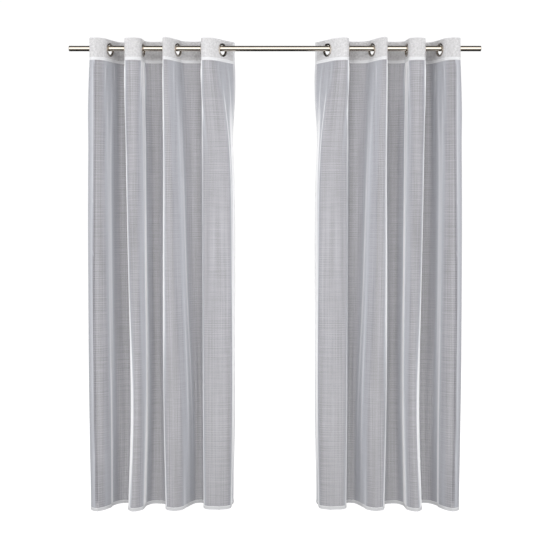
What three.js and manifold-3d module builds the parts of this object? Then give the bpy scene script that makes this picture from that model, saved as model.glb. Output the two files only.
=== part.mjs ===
// A pair of sheer eyelet curtains hanging on a straight tube rod.
// Millimetres. X runs along the rod, Y from the room towards the wall, Z up.
// The origin is on the rod's axis, half-way along it.
import * as THREE from "three";
import { mergeVertices } from "three/addons/utils/BufferGeometryUtils.js";
import Module from "manifold-3d";

const wasm = await Module();
wasm.setup();

// Rod: a round tube with a flush plug in each end.
const rodLength = 1880;
const rodRadius = 12.5;
const rodWall = 1.2;
const plugHead = 2;
const plugSpigot = 14;
const rodSides = 32;

// Gap that keeps touching pieces apart.
const gap = 0.3;

// Cloth of one panel, measured flat.
const eyeletCount = 8;
const bayCloth = 170; // from one eyelet to the next
const marginCloth = 91; // from an end eyelet to the free edge
const drop = 2134; // from the header's top edge to the bottom edge
const headerHeight = 100;
const clothThickness = 1;
const stiffenerThickness = 0.8;
const stiffenerInset = 1; // the stiffener stops this far short of the header's edges
const sideHemWidth = 14;
const outerHemWidth = 26; // mm, the hem at the wall end is turned wider
const bottomHemHeight = 16;

// Eyelet: a front ring whose barrel passes through the header, and a back ring that snaps round the barrel.
const eyeletPlay = 9.5; // bore radius over rod radius
const restGap = 0.6; // least clearance between the rod and the bores, which hang on it
const barrelWall = 1.3;
const flangeWidth = 8.5;
const domeSlope = 3; // width of the sloped rim of each flange
const frontDome = 3.2;
const backDome = 2.4;
const snapDepth = 1.7; // how far the barrel runs on through the back ring
const boreRound = 0.8; // rounding where the front dome turns into the bore
const eyeletBelowTop = 47; // from the header's top edge to the eyelet's centre
const eyeletSides = 12;
const holeSides = 12;
const holeGap = 1.3; // between barrel and the corners of the hole in the cloth
const flangeGrip = 1; // how far past its flange an eyelet still holds the cloth flat

// How the left panel is gathered, from its outer eyelet to its leading one. Distances along the rod
// are shares of the cloth in one bay, so a fuller panel keeps its folds.
const outerEyeletInset = 102; // from the rod's end
const eyeletGaps = [0.498, 0.42, 0.47, 0.55, 0.38, 0.64, 0.56];
// Direction that the cloth takes through each eyelet, in degrees from +X. Odd eyelets bring it
// forward into the room and even ones take it back to the wall.
const headerLean = [-93, 67, -90, 84, -90, 63, -90, 55];
const dropLean = [-96, 74, -95, 86, -93, 71, -94, 85];
const settledAt = 0.2; // share of the free drop over which the folds leave the header's shape
const settledHalf = 12; // half of the straight stretch in a fold wall, below that
// How far each fold wall wanders sideways on its way down, at these shares of the free drop.
const driftAt = [0, 0.2, 0.5, 0.8, 1];
const wallDrift = [
  [0, 0, 0, 0, 0, 0, 0, 0],
  [-0.03, -0.01, 0.04, 0.04, 0.01, 0.09, 0.03, 0.21],
  [-0.05, 0.02, 0.12, 0.08, 0, 0.18, 0.04, 0.26],
  [-0.02, 0.05, 0.18, 0.11, 0.03, 0.28, 0.05, 0.26],
  [0.03, 0.03, 0.1, 0.06, 0.08, 0.26, 0.07, 0.23],
];

const arcColumns = 6; // facets round each fold
const clothRows = [0.1, 0.2, 0.5, 0.8]; // shares of the free drop with a row of corners

// Layers, as distances from the middle of the cloth: positive towards the cloth's face.
const clothFace = clothThickness / 2;
const clothBack = -clothFace;
const stiffenerFace = clothBack - gap;
const stiffenerBack = stiffenerFace - stiffenerThickness;
const facingFace = stiffenerBack - gap;
const facingBack = facingFace - clothThickness;
const hemFace = clothBack - gap;
const hemBack = hemFace - clothThickness;
const seatFront = clothFace + gap;
const seatBack = facingBack - gap;

// Sizes that follow from the ones above.
const boreRadius = rodRadius + eyeletPlay;
const barrelRadius = boreRadius + barrelWall;
const barrelBack = seatBack - snapDepth;
const flangeRadius = boreRadius + flangeWidth;
const flatHalf = flangeRadius + flangeGrip;
const holeRadius = barrelRadius + holeGap;
const eyeletZ = -hangOfEyelets();
const headerTop = eyeletZ + eyeletBelowTop;
const headerFoot = headerTop - headerHeight;
const clothFoot = headerTop - drop;
const panelWidth = (eyeletCount - 1) * bayCloth + 2 * marginCloth;

function metal(colour, roughness) {
  return new THREE.MeshStandardMaterial({ color: colour, roughness, metalness: 1 });
}

function fabric(colour) {
  return new THREE.MeshStandardMaterial({ color: colour, roughness: 0.9, metalness: 0 });
}

const rodMetal = metal(0xb9a98c, 0.25);
const plugMetal = metal(0x9c8d74, 0.35);
const eyeletMetal = metal(0x6b6864, 0.3);
const sheer = fabric(0xc3c4ca);
const header = fabric(0xd3d3d6);
const hem = fabric(0xe4e4e8);

function named(name, geometry, material) {
  const mesh = new THREE.Mesh(geometry, material);
  mesh.name = name;
  return mesh;
}

function solidOf(geometry) {
  const bare = geometry.clone();
  bare.deleteAttribute("normal");
  bare.deleteAttribute("uv");
  const merged = mergeVertices(bare, 1e-3);
  return new wasm.Manifold(
    new wasm.Mesh({
      numProp: 3,
      vertProperties: merged.attributes.position.array,
      triVerts: new Uint32Array(merged.index.array),
    }),
  );
}

function geometryOf(solid) {
  const mesh = solid.getMesh();
  const geometry = new THREE.BufferGeometry();
  geometry.setAttribute("position", new THREE.BufferAttribute(mesh.vertProperties, 3));
  geometry.setIndex(new THREE.BufferAttribute(mesh.triVerts, 1));
  return geometry;
}

function lathed(profile, sides) {
  return new THREE.LatheGeometry(profile.map(([radius, height]) => new THREE.Vector2(radius, height)), sides);
}

// A turned piece from its profile of [radius, distance along the axis], which closes on itself.
function turned(profile, sides) {
  return lathed([...profile, profile[0]], sides);
}

function makeRod() {
  const rod = new THREE.Group();
  const tubeHalf = rodLength / 2 - plugHead - gap;
  const tubeBore = rodRadius - rodWall;
  const spigotRadius = tubeBore - gap;
  const tubeProfile = [
    [tubeBore, -tubeHalf],
    [rodRadius, -tubeHalf],
    [rodRadius, tubeHalf],
    [tubeBore, tubeHalf],
  ];
  const plugProfile = [
    [0, -plugSpigot],
    [spigotRadius, -plugSpigot],
    [spigotRadius, gap],
    [rodRadius, gap],
    [rodRadius, gap + plugHead],
    [0, gap + plugHead],
  ];
  const plugGeometry = lathed(plugProfile, rodSides);

  const tube = named("rod_tube", turned(tubeProfile, rodSides), rodMetal);
  tube.rotation.z = -Math.PI / 2;
  rod.add(tube);
  for (const [side, sign] of [["left", -1], ["right", 1]]) {
    const plug = named(`rod_end_plug_${side}`, plugGeometry, plugMetal);
    plug.rotation.z = (-sign * Math.PI) / 2;
    plug.position.x = sign * tubeHalf;
    rod.add(plug);
  }
  return rod;
}

function radians(degrees) {
  return (degrees * Math.PI) / 180;
}

// How far the eyelets' centres hang below the rod's axis. Seen along the rod, the bore of a ring that
// stands askew is an ellipse, narrower the more it leans, and the most askew ring sets the height.
function hangOfEyelets() {
  const tall = boreRadius * Math.cos(Math.PI / eyeletSides);
  const round = rodRadius + restGap;
  const hangs = headerLean.map((lean) => {
    const [square, askew] = [Math.abs(Math.sin(radians(lean))), Math.abs(Math.cos(radians(lean)))];
    const wide = tall * square + barrelBack * askew;
    const focus = tall * tall - wide * wide;
    const shoulders = Math.sqrt(focus * (1 - (round / wide) ** 2));
    return wide * wide > round * tall ? tall - round : shoulders;
  });
  return Math.min(...hangs);
}

const along = (degrees) => new THREE.Vector2(Math.cos(radians(degrees)), Math.sin(radians(degrees)));

const eyeletX = eyeletGaps.reduce(
  (line, share) => [...line, line.at(-1) + share * bayCloth],
  [outerEyeletInset - rodLength / 2],
);
const driftCurve = new THREE.CubicInterpolant(driftAt, wallDrift.flat(), eyeletCount);

// One fold: a curve between two fold walls, bulged until it takes up the cloth it is given.
function fold(start, startWay, end, endWay, cloth) {
  let [low, high] = [1, 2 * cloth];
  let curve;
  for (let step = 0; step < 30; step++) {
    const reach = (low + high) / 2;
    curve = new THREE.CubicBezierCurve(
      start,
      start.clone().addScaledVector(startWay, reach),
      end.clone().addScaledVector(endWay, -reach),
      end,
    );
    curve.arcLengthDivisions = 400;
    if (curve.getLength() < cloth) low = reach;
    else high = reach;
  }
  return curve;
}

// The line that the cloth takes, seen from above, at a share of the free drop (0 all through the header).
function clothLine(share) {
  const drifts = driftCurve.evaluate(share);
  const settled = THREE.MathUtils.smoothstep(share, 0, settledAt);
  const half = THREE.MathUtils.lerp(flatHalf, settledHalf, settled);
  const walls = eyeletX.map((x, i) => ({
    centre: new THREE.Vector2(x + drifts[i] * bayCloth, 0),
    way: along(THREE.MathUtils.lerp(headerLean[i], dropLean[i], settled)),
  }));
  const at = (wall, distance) => wall.centre.clone().addScaledVector(wall.way, distance);
  const [first, last] = [walls[0], walls.at(-1)];
  const path = new THREE.CurvePath();
  path.add(new THREE.LineCurve(at(first, -marginCloth), at(first, -half)));
  walls.forEach((wall, i) => {
    path.add(new THREE.LineCurve(at(wall, -half), at(wall, half)));
    const next = walls[i + 1];
    if (next) path.add(fold(at(wall, half), wall.way, at(next, -half), next.way, bayCloth - 2 * half));
  });
  path.add(new THREE.LineCurve(at(last, half), at(last, marginCloth)));
  path.arcLengthDivisions = 4000;
  return path;
}

const zOf = (share) => THREE.MathUtils.lerp(headerFoot, clothFoot, share);
const shareOf = (z) => THREE.MathUtils.clamp((headerFoot - z) / (headerFoot - clothFoot), 0, 1);

// Rows and columns of corners that every layer of cloth shares, so that layers never cross.
const hemTop = clothFoot + bottomHemHeight;
const rows = [headerTop, headerFoot, ...clothRows.map(zOf), hemTop, clothFoot];
const rowLines = rows.map((z) => clothLine(shareOf(z)));
const columns = [0, outerHemWidth, panelWidth - sideHemWidth, panelWidth];
for (let i = 0; i < eyeletCount; i++) {
  const eyelet = marginCloth + i * bayCloth;
  columns.push(eyelet - flatHalf, eyelet + flatHalf);
  const arc = bayCloth - 2 * flatHalf;
  for (let k = 1; k < arcColumns && i < eyeletCount - 1; k++) {
    columns.push(eyelet + flatHalf + (arc * k) / arcColumns);
  }
}
columns.sort((a, b) => a - b);

// A corner of the cloth, and the direction across it there, at a distance across and a height.
function clothAt(distance, z) {
  const below = Math.max(1, rows.findIndex((row) => row <= z));
  const part = (rows[below - 1] - z) / (rows[below - 1] - rows[below]);
  const u = distance / panelWidth;
  const [high, low] = [rowLines[below - 1], rowLines[below]];
  return {
    place: high.getPointAt(u).lerp(low.getPointAt(u), part),
    way: high.getTangentAt(u).lerp(low.getTangentAt(u), part),
  };
}

// A closed layer of cloth between two distances across the panel, two heights and two offsets.
function layer(from, to, top, foot, face, back) {
  const across = [from, ...columns.filter((s) => s > from && s < to), to];
  const heights = [top, ...rows.filter((z) => z < top && z > foot), foot];
  const corners = [];
  for (const z of heights) {
    for (const distance of across) {
      const { place, way } = clothAt(distance, z);
      for (const offset of [face, back]) {
        corners.push(place.x + way.y * offset, place.y - way.x * offset, z);
      }
    }
  }
  const [wide, high] = [across.length, heights.length];
  const corner = (row, column, side) => 2 * (row * wide + column) + side;
  const faces = [];
  const quad = (a, b, c, d) => faces.push(a, b, c, a, c, d);
  for (let r = 0; r < high - 1; r++) {
    for (let c = 0; c < wide - 1; c++) {
      quad(corner(r, c, 0), corner(r + 1, c, 0), corner(r + 1, c + 1, 0), corner(r, c + 1, 0));
      quad(corner(r, c, 1), corner(r, c + 1, 1), corner(r + 1, c + 1, 1), corner(r + 1, c, 1));
    }
    const end = wide - 1;
    quad(corner(r, 0, 0), corner(r, 0, 1), corner(r + 1, 0, 1), corner(r + 1, 0, 0));
    quad(corner(r, end, 0), corner(r + 1, end, 0), corner(r + 1, end, 1), corner(r, end, 1));
  }
  const bottom = high - 1;
  for (let c = 0; c < wide - 1; c++) {
    quad(corner(0, c, 0), corner(0, c + 1, 0), corner(0, c + 1, 1), corner(0, c, 1));
    quad(corner(bottom, c, 0), corner(bottom, c, 1), corner(bottom, c + 1, 1), corner(bottom, c + 1, 0));
  }
  const geometry = new THREE.BufferGeometry();
  geometry.setAttribute("position", new THREE.Float32BufferAttribute(corners, 3));
  geometry.setIndex(faces);
  return geometry;
}

// Where an eyelet stands: on the rod, with its axis square to the cloth and its face to the cloth's face.
function eyeletPlace(i) {
  return { x: eyeletX[i], turn: radians(headerLean[i]) };
}

// The same layer with a hole for each eyelet's barrel.
function pierced(geometry) {
  let solid = solidOf(geometry);
  const punch = new THREE.CylinderGeometry(holeRadius, holeRadius, 2 * holeRadius, holeSides);
  for (let i = 0; i < eyeletCount; i++) {
    const { x, turn } = eyeletPlace(i);
    const cutter = punch.clone().rotateZ(turn).translate(x, 0, eyeletZ);
    solid = solid.subtract(solidOf(cutter));
  }
  return geometryOf(solid);
}

// Both rings are turned about their own axis, which points out of the cloth's face.
const frontRing = turned(
  [
    [boreRadius, barrelBack],
    [barrelRadius, barrelBack],
    [barrelRadius, seatFront],
    [flangeRadius, seatFront],
    [flangeRadius - domeSlope, seatFront + frontDome],
    [boreRadius + boreRound, seatFront + frontDome],
    [boreRadius, seatFront + frontDome - boreRound],
  ],
  eyeletSides,
);
const backRing = turned(
  [
    [barrelRadius + gap, seatBack - backDome],
    [flangeRadius - domeSlope, seatBack - backDome],
    [flangeRadius, seatBack],
    [barrelRadius + gap, seatBack],
  ],
  eyeletSides,
);

function makeEyelet(side, i) {
  const eyelet = new THREE.Group();
  const { x, turn } = eyeletPlace(i);
  eyelet.position.set(x, 0, eyeletZ);
  // The lathe turns about Y. Half a turn points that axis at the room, which is the cloth's face.
  eyelet.rotation.z = turn + Math.PI;
  eyelet.add(named(`${side}_eyelet_${i + 1}_front`, frontRing, eyeletMetal));
  eyelet.add(named(`${side}_eyelet_${i + 1}_back`, backRing, eyeletMetal));
  return eyelet;
}

function makePanel(side) {
  const panel = new THREE.Group();
  const add = (name, geometry, material) => panel.add(named(`${side}_${name}`, geometry, material));
  const whole = (top, foot, face, back) => layer(0, panelWidth, top, foot, face, back);
  const down = (from, to) => layer(from, to, headerFoot - gap, hemTop + gap, hemFace, hemBack);
  const [stiffenerTop, stiffenerFoot] = [headerTop - stiffenerInset, headerFoot + stiffenerInset];

  add("sheer_panel", pierced(whole(headerTop, clothFoot, clothFace, clothBack)), sheer);
  add("header_stiffener", pierced(whole(stiffenerTop, stiffenerFoot, stiffenerFace, stiffenerBack)), header);
  add("header_facing", pierced(whole(headerTop, headerFoot, facingFace, facingBack)), header);
  add("side_hem_outer", down(0, outerHemWidth), hem);
  add("side_hem_leading", down(panelWidth - sideHemWidth, panelWidth), hem);
  add("bottom_hem", whole(hemTop, clothFoot, hemFace, hemBack), hem);
  for (let i = 0; i < eyeletCount; i++) panel.add(makeEyelet(side, i));
  return panel;
}

const curtains = new THREE.Group();
curtains.add(makeRod());
curtains.add(makePanel("left"));
const right = makePanel("right");
right.scale.x = -1; // the right panel is the left one's mirror image
curtains.add(right);

export default curtains;
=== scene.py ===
"""A pair of sheer eyelet curtains on a satin metal rod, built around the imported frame."""

import math

import bpy
import numpy as np
from mathutils import Matrix, Vector


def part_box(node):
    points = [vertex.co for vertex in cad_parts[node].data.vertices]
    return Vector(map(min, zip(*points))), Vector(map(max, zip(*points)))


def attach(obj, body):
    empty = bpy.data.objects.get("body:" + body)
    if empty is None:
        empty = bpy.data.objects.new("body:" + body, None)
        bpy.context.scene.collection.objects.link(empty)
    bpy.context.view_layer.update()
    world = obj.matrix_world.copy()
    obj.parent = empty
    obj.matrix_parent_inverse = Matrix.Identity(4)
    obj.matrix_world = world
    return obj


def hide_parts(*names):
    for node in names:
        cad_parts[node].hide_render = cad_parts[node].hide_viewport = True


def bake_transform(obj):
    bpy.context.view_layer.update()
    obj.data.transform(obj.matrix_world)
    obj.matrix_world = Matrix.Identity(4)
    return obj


bl_info = {
    "name": "Eyelet curtains on a rod",
    "version": (1, 0, 0),
    "blender": (4, 5, 0),
    "location": "View3D > Sidebar > Curtains",
    "description": "Makes a pair of sheer eyelet curtains on a metal rod, with its stage",
    "category": "Object",
}

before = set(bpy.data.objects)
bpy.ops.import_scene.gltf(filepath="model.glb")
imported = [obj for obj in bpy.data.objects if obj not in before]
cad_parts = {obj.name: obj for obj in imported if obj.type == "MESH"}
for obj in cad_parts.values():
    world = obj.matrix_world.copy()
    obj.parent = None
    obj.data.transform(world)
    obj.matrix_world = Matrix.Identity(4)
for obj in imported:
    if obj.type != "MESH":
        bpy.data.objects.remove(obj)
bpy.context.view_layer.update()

SIDES = ("left", "right")
EYELETS = 8

# Heights and places, read from the frame.
ROD_LOW, ROD_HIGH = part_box("rod_tube")
PLUG_LOW, PLUG_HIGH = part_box("rod_end_plug_right")
ROD_RADIUS = (ROD_HIGH.z - ROD_LOW.z) / 2
HEADER_LOW, HEADER_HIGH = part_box("left_header_facing")
HEADER_TOP, HEADER_FOOT = HEADER_HIGH.z, HEADER_LOW.z
HEM_LOW, HEM_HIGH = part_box("left_bottom_hem")
HEM_TOP, CLOTH_FOOT = HEM_HIGH.z, HEM_LOW.z
FREE_DROP = HEADER_FOOT - CLOTH_FOOT

# Distances from the middle of the cloth, positive towards its face, in metres.
CLOTH_HALF = 0.0005
RING_SEAT = 0.0008
STIFFENER_MIDDLE = -0.0012
FACING_MIDDLE = -0.0024
BACK_SEAT = -0.0032

# How the cloth runs through the eyelets, as a maker would set it out.
BAY_CLOTH = 0.170
MARGIN_CLOTH = 0.091
FLAT_HALF = 0.0315
SETTLED_HALF = 0.012
SETTLED_AT = 0.2
DROP_LEAN = (-96, 74, -95, 86, -93, 71, -94, 85)
DRIFT_AT = (0.0, 0.2, 0.5, 0.8, 1.0)
WALL_DRIFT = (
    (0.0, 0.0, 0.0, 0.0, 0.0, 0.0, 0.0, 0.0),
    (-0.03, -0.01, 0.04, 0.04, 0.01, 0.09, 0.03, 0.21),
    (-0.05, 0.02, 0.12, 0.08, 0.0, 0.18, 0.04, 0.26),
    (-0.02, 0.05, 0.18, 0.11, 0.03, 0.28, 0.05, 0.26),
    (0.03, 0.03, 0.1, 0.06, 0.08, 0.26, 0.07, 0.23),
)
PANEL_WIDTH = (EYELETS - 1) * BAY_CLOTH + 2 * MARGIN_CLOTH
HOLE_RADIUS = 0.0246
SIDE_HEM = 0.014
OUTER_HEM = 0.026
SIDE_HEM_MIDDLE = -0.0013
CLOTH_THICKNESS = 2 * CLOTH_HALF
STIFFENER_THICKNESS = 0.0008
STIFFENER_INSET = 0.001
ROD_WALL = 0.0012
SPIGOT_PLAY = 0.0003

# How soon the voile closes up, and takes on its painted highlight, in the outward and inward
# sides of its folds, and how wide its outermost fold is, which is painted lighter as well.
TURN_OUTWARD = 1.8
TURN_INWARD = 0.98
OUTERMOST_FOLD = 0.029


# ---------------------------------------------------------------------------
# Sizes and colours that a user would change


class RodSettings(bpy.types.PropertyGroup):
    colour: bpy.props.FloatVectorProperty(
        name="Metal", description="Colour of the rod's satin finish",
        subtype="COLOR", size=3, min=0, max=1, default=(0.7, 0.63, 0.54),
    )
    roughness: bpy.props.FloatProperty(
        name="Roughness", description="How satin the metal is", min=0, max=1, default=0.13,
    )
    chamfer: bpy.props.FloatProperty(
        name="Chamfer", description="Broken edge at the rod's and the plugs' ends",
        unit="LENGTH", min=0.0001, max=0.002, default=0.0006,
    )
    sides: bpy.props.IntProperty(
        name="Sides", description="Facets round the rod", min=24, max=256, default=96,
    )


class EyeletSettings(bpy.types.PropertyGroup):
    colour: bpy.props.FloatVectorProperty(
        name="Metal", description="Colour of the eyelets' finish",
        subtype="COLOR", size=3, min=0, max=1, default=(0.5, 0.46, 0.41),
    )
    roughness: bpy.props.FloatProperty(
        name="Roughness", description="How satin the metal is", min=0, max=1, default=0.24,
    )
    bore: bpy.props.FloatProperty(
        name="Bore radius", description="Inside radius of the barrel",
        unit="LENGTH", min=0.015, max=0.03, default=0.022,
    )
    barrel_wall: bpy.props.FloatProperty(
        name="Barrel wall", description="Thickness of the barrel's wall",
        unit="LENGTH", min=0.0005, max=0.003, default=0.0013,
    )
    flange: bpy.props.FloatProperty(
        name="Flange", description="Width of the flange outside the bore",
        unit="LENGTH", min=0.004, max=0.012, default=0.0085,
    )
    dome: bpy.props.FloatProperty(
        name="Dome", description="Height of the front flange's dome",
        unit="LENGTH", min=0.001, max=0.005, default=0.0032,
    )
    sides: bpy.props.IntProperty(
        name="Sides", description="Facets round each ring", min=24, max=128, default=56,
    )


class ClothSettings(bpy.types.PropertyGroup):
    sheer: bpy.props.FloatVectorProperty(
        name="Voile", description="Colour of the threads of the sheer cloth",
        subtype="COLOR", size=3, min=0, max=1, default=(0.345, 0.34, 0.365),
    )
    # Painted highlight: a lighter, bluish colour painted where the cloth starts to turn sideways.
    painted_oblique_highlight: bpy.props.FloatVectorProperty(
        name="Oblique", description="Colour of the sheer cloth where it starts to turn away",
        subtype="COLOR", size=3, min=0, max=1, default=(0.435, 0.442, 0.477),
    )
    # Partly painted highlight: white painted where the cloth stands edge on, and also the real whiteness
    # of the turned hems in the voile.
    edge: bpy.props.FloatVectorProperty(
        name="Edge on", description="Colour of the sheer cloth where its threads close up, edge on",
        subtype="COLOR", size=3, min=0, max=1, default=(0.9, 0.9, 0.91),
    )
    header: bpy.props.FloatVectorProperty(
        name="Header", description="Colour of the stiffened header",
        subtype="COLOR", size=3, min=0, max=1, default=(0.57, 0.561, 0.566),
    )
    hem: bpy.props.FloatVectorProperty(
        name="Hem", description="Colour of the turned hems",
        subtype="COLOR", size=3, min=0, max=1, default=(0.66, 0.66, 0.675),
    )
    cover: bpy.props.FloatProperty(
        name="Cover", description="Share of the sheer cloth that is thread, seen square on",
        subtype="FACTOR", min=0.2, max=1, default=0.58,
    )
    thread_pitch: bpy.props.FloatProperty(
        name="Thread pitch", description="Distance from one thread to the next",
        unit="LENGTH", min=0.0003, max=0.005, default=0.0011,
    )
    column_step: bpy.props.FloatProperty(
        name="Column step", description="Distance across the flat cloth between mesh columns",
        unit="LENGTH", min=0.003, max=0.03, default=0.0058,
    )
    row_step: bpy.props.FloatProperty(
        name="Row step", description="Distance down the cloth between mesh rows",
        unit="LENGTH", min=0.005, max=0.1, default=0.018,
    )
    flute: bpy.props.FloatProperty(
        name="Flutes", description="Depth of the soft flutes between the main folds",
        unit="LENGTH", min=0, max=0.01, default=0.0032,
    )
    ridge: bpy.props.FloatProperty(
        name="Ridges", description="Height of the sharper ridge down the middle of each fold",
        unit="LENGTH", min=0, max=0.01, default=0.0022,
    )
    pull: bpy.props.FloatProperty(
        name="Pulls", description="Depth of the creases that run down from each eyelet",
        unit="LENGTH", min=0, max=0.01, default=0.003,
    )


class StitchSettings(bpy.types.PropertyGroup):
    length: bpy.props.FloatProperty(
        name="Stitch", description="Length of one stitch",
        unit="LENGTH", min=0.001, max=0.01, default=0.0032,
    )
    pitch: bpy.props.FloatProperty(
        name="Pitch", description="Distance from one stitch to the next",
        unit="LENGTH", min=0.002, max=0.02, default=0.0046,
    )
    thread: bpy.props.FloatProperty(
        name="Thread", description="Radius of the sewing thread",
        unit="LENGTH", min=0.0001, max=0.001, default=0.00035,
    )
    colour: bpy.props.FloatVectorProperty(
        name="Colour", description="Colour of the sewing thread",
        subtype="COLOR", size=3, min=0, max=1, default=(0.93, 0.93, 0.93),
    )


class StageSettings(bpy.types.PropertyGroup):
    distance: bpy.props.FloatProperty(
        name="Distance", description="From the camera to the rod's plane",
        unit="LENGTH", min=1, max=20, default=4.5,
    )
    eye_height: bpy.props.FloatProperty(
        name="Eye height", description="Height of the camera above the rod's axis",
        unit="LENGTH", min=-3, max=3, default=-0.762,
    )
    lens: bpy.props.FloatProperty(
        name="Lens", description="Focal length on a 36 mm sensor", min=10, max=200, default=64.5,
    )
    shift: bpy.props.FloatProperty(
        name="Shift", description="Vertical shift of the lens", min=-1, max=1, default=-0.1083,
    )
    floor_gap: bpy.props.FloatProperty(
        name="Floor gap", description="From the hem down to the floor",
        unit="LENGTH", min=0, max=1, default=0.09,
    )
    floor: bpy.props.FloatVectorProperty(
        name="Floor", description="Colour of the floor",
        subtype="COLOR", size=3, min=0, max=1, default=(0.42, 0.42, 0.42),
    )


def settings():
    return bpy.context.scene.curtains


class CurtainSettings(bpy.types.PropertyGroup):
    rod: bpy.props.PointerProperty(type=RodSettings)
    eyelet: bpy.props.PointerProperty(type=EyeletSettings)
    cloth: bpy.props.PointerProperty(type=ClothSettings)
    stitch: bpy.props.PointerProperty(type=StitchSettings)
    stage: bpy.props.PointerProperty(type=StageSettings)


# ---------------------------------------------------------------------------
# Mesh helpers


def select_only(obj):
    bpy.ops.object.select_all(action="DESELECT")
    obj.select_set(True)
    bpy.context.view_layer.objects.active = obj


def new_object(name, verts, faces, edges=()):
    mesh = bpy.data.meshes.new(name)
    mesh.from_pydata([tuple(v) for v in verts], list(edges), [tuple(f) for f in faces])
    mesh.update()
    obj = bpy.data.objects.new(name, mesh)
    bpy.context.scene.collection.objects.link(obj)
    return obj


def add_modifier(obj, kind, **values):
    modifier = obj.modifiers.new(kind.title(), kind)
    for key, value in values.items():
        setattr(modifier, key, value)
    select_only(obj)
    bpy.ops.object.modifier_apply(modifier=modifier.name)


def turned(name, profile, sides, ring=True):
    """A shape turned about Z from (radius, height): a ring from a closed profile, or a solid from
    one that starts and ends on the axis."""
    verts = [(radius, 0, height) for radius, height in profile]
    edges = [(i, (i + 1) % len(verts)) for i in range(len(verts) - (not ring))]
    obj = new_object(name, verts, [], edges)
    select_only(obj)
    bpy.ops.object.mode_set(mode="EDIT")
    bpy.ops.mesh.select_all(action="SELECT")
    bpy.ops.mesh.spin(steps=sides, angle=2 * math.pi, center=(0, 0, 0), axis=(0, 0, 1))
    bpy.ops.mesh.select_all(action="SELECT")
    bpy.ops.mesh.remove_doubles(threshold=1e-6)
    bpy.ops.mesh.normals_make_consistent(inside=False)
    bpy.ops.object.mode_set(mode="OBJECT")
    return obj


def arc(centre, radius, start, end, steps):
    """Points on an arc in a profile, with angles in degrees."""
    angles = np.radians(np.linspace(start, end, steps + 1))
    return [(centre[0] + radius * math.cos(a), centre[1] + radius * math.sin(a)) for a in angles]


def smooth(obj, degrees=35):
    select_only(obj)
    bpy.ops.object.shade_smooth_by_angle(angle=math.radians(degrees))


def place(obj, matrix):
    """Puts an object's place into its mesh and leaves the object at the origin."""
    obj.data.transform(matrix)
    obj.matrix_world = Matrix.Identity(4)
    obj.data.update()


def finish_piece(obj, material, slot, *nodes):
    obj.data.materials.clear()
    obj.data.materials.append(material)
    if nodes:
        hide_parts(*nodes)


def mirrored(points, side):
    """Moves points of the left panel to the right one where that is asked for."""
    return points if side == "left" else points * np.array((-1.0, 1.0, 1.0))


# ---------------------------------------------------------------------------
# Where the eyelets stand, read from their rings in the frame


def eyelet_place(index):
    """Centre on the cloth's middle, and the way that the face of a left eyelet looks."""
    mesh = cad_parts[f"left_eyelet_{index + 1}_front"].data
    co = np.array([v.co for v in mesh.vertices])
    centre = (co.max(0) + co.min(0)) / 2
    axis = np.linalg.eigh(np.cov((co - co.mean(0)).T))[1][:, 0]
    axis[2] = 0
    axis /= np.linalg.norm(axis)
    along = (co - centre) @ axis
    reach = np.linalg.norm(co - centre - along[:, None] * axis, axis=1)
    rim = along[reach > reach.max() - 0.0005]
    if rim.min() < along.mean():
        axis, rim = -axis, -rim
    middle = centre + axis * (rim.min() - RING_SEAT)
    middle[2] = centre[2]
    return middle, axis


PLACES = [eyelet_place(i) for i in range(EYELETS)]
EYELET_X = np.array([middle[0] for middle, _ in PLACES])
EYELET_Z = float(np.mean([middle[2] for middle, _ in PLACES]))
HEADER_LEAN = np.array([math.degrees(math.atan2(axis[0], -axis[1])) for _, axis in PLACES])


# ---------------------------------------------------------------------------
# The line of the cloth, seen from above, and the cloth that hangs from it


def smoothstep(value):
    t = np.clip(value, 0, 1)
    return t * t * (3 - 2 * t)


def hermite(x, xs, table):
    """Smooth curve through the rows of a table, level with its neighbours' slope."""
    xs = np.asarray(xs)
    rows = np.asarray(table)
    slopes = np.gradient(rows, xs, axis=0)
    i = int(np.clip(np.searchsorted(xs, x) - 1, 0, len(xs) - 2))
    h = xs[i + 1] - xs[i]
    t = (x - xs[i]) / h
    a, b = rows[i], rows[i + 1]
    return (
        (2 * t**3 - 3 * t**2 + 1) * a
        + (t**3 - 2 * t**2 + t) * h * slopes[i]
        + (3 * t**2 - 2 * t**3) * b
        + (t**3 - t**2) * h * slopes[i + 1]
    )


def fold(start, way, end, end_way, cloth, steps=40):
    """Points of one fold between two walls, bulged until it takes up its cloth."""
    t = np.linspace(0, 1, steps + 1)[:, None]

    def curve(reach):
        a, b = start + way * reach, end - end_way * reach
        return start * (1 - t) ** 3 + 3 * a * t * (1 - t) ** 2 + 3 * b * t**2 * (1 - t) + end * t**3

    low, high = 0.001, 2 * cloth
    for _ in range(26):
        reach = (low + high) / 2
        points = curve(reach)
        if np.linalg.norm(np.diff(points, axis=0), axis=1).sum() < cloth:
            low = reach
        else:
            high = reach
    return points


def cloth_line(share):
    """Distances along the cloth and the points there, at a share of the free drop."""
    drift = hermite(share, DRIFT_AT, WALL_DRIFT) * BAY_CLOTH
    settled = float(smoothstep(share / SETTLED_AT))
    half = FLAT_HALF + (SETTLED_HALF - FLAT_HALF) * settled
    leans = np.radians(HEADER_LEAN + (np.array(DROP_LEAN) - HEADER_LEAN) * settled)
    ways = np.stack([np.cos(leans), np.sin(leans)], axis=1)
    centres = np.stack([EYELET_X + drift, np.zeros(EYELETS)], axis=1)
    points = [centres[:1] - ways[:1] * MARGIN_CLOTH, centres[:1] - ways[:1] * half]
    for i in range(EYELETS):
        points.append(centres[i : i + 1] + ways[i : i + 1] * half)
        if i < EYELETS - 1:
            start, end = points[-1][0], centres[i + 1] - ways[i + 1] * half
            points.append(fold(start, ways[i], end, ways[i + 1], BAY_CLOTH - 2 * half)[1:])
    points.append(centres[-1:] + ways[-1:] * MARGIN_CLOTH)
    line = np.concatenate(points)
    gone = np.concatenate([[0], np.cumsum(np.linalg.norm(np.diff(line, axis=0), axis=1))])
    return gone * (PANEL_WIDTH / gone[-1]), line


LINE_CACHE = {}


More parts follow.
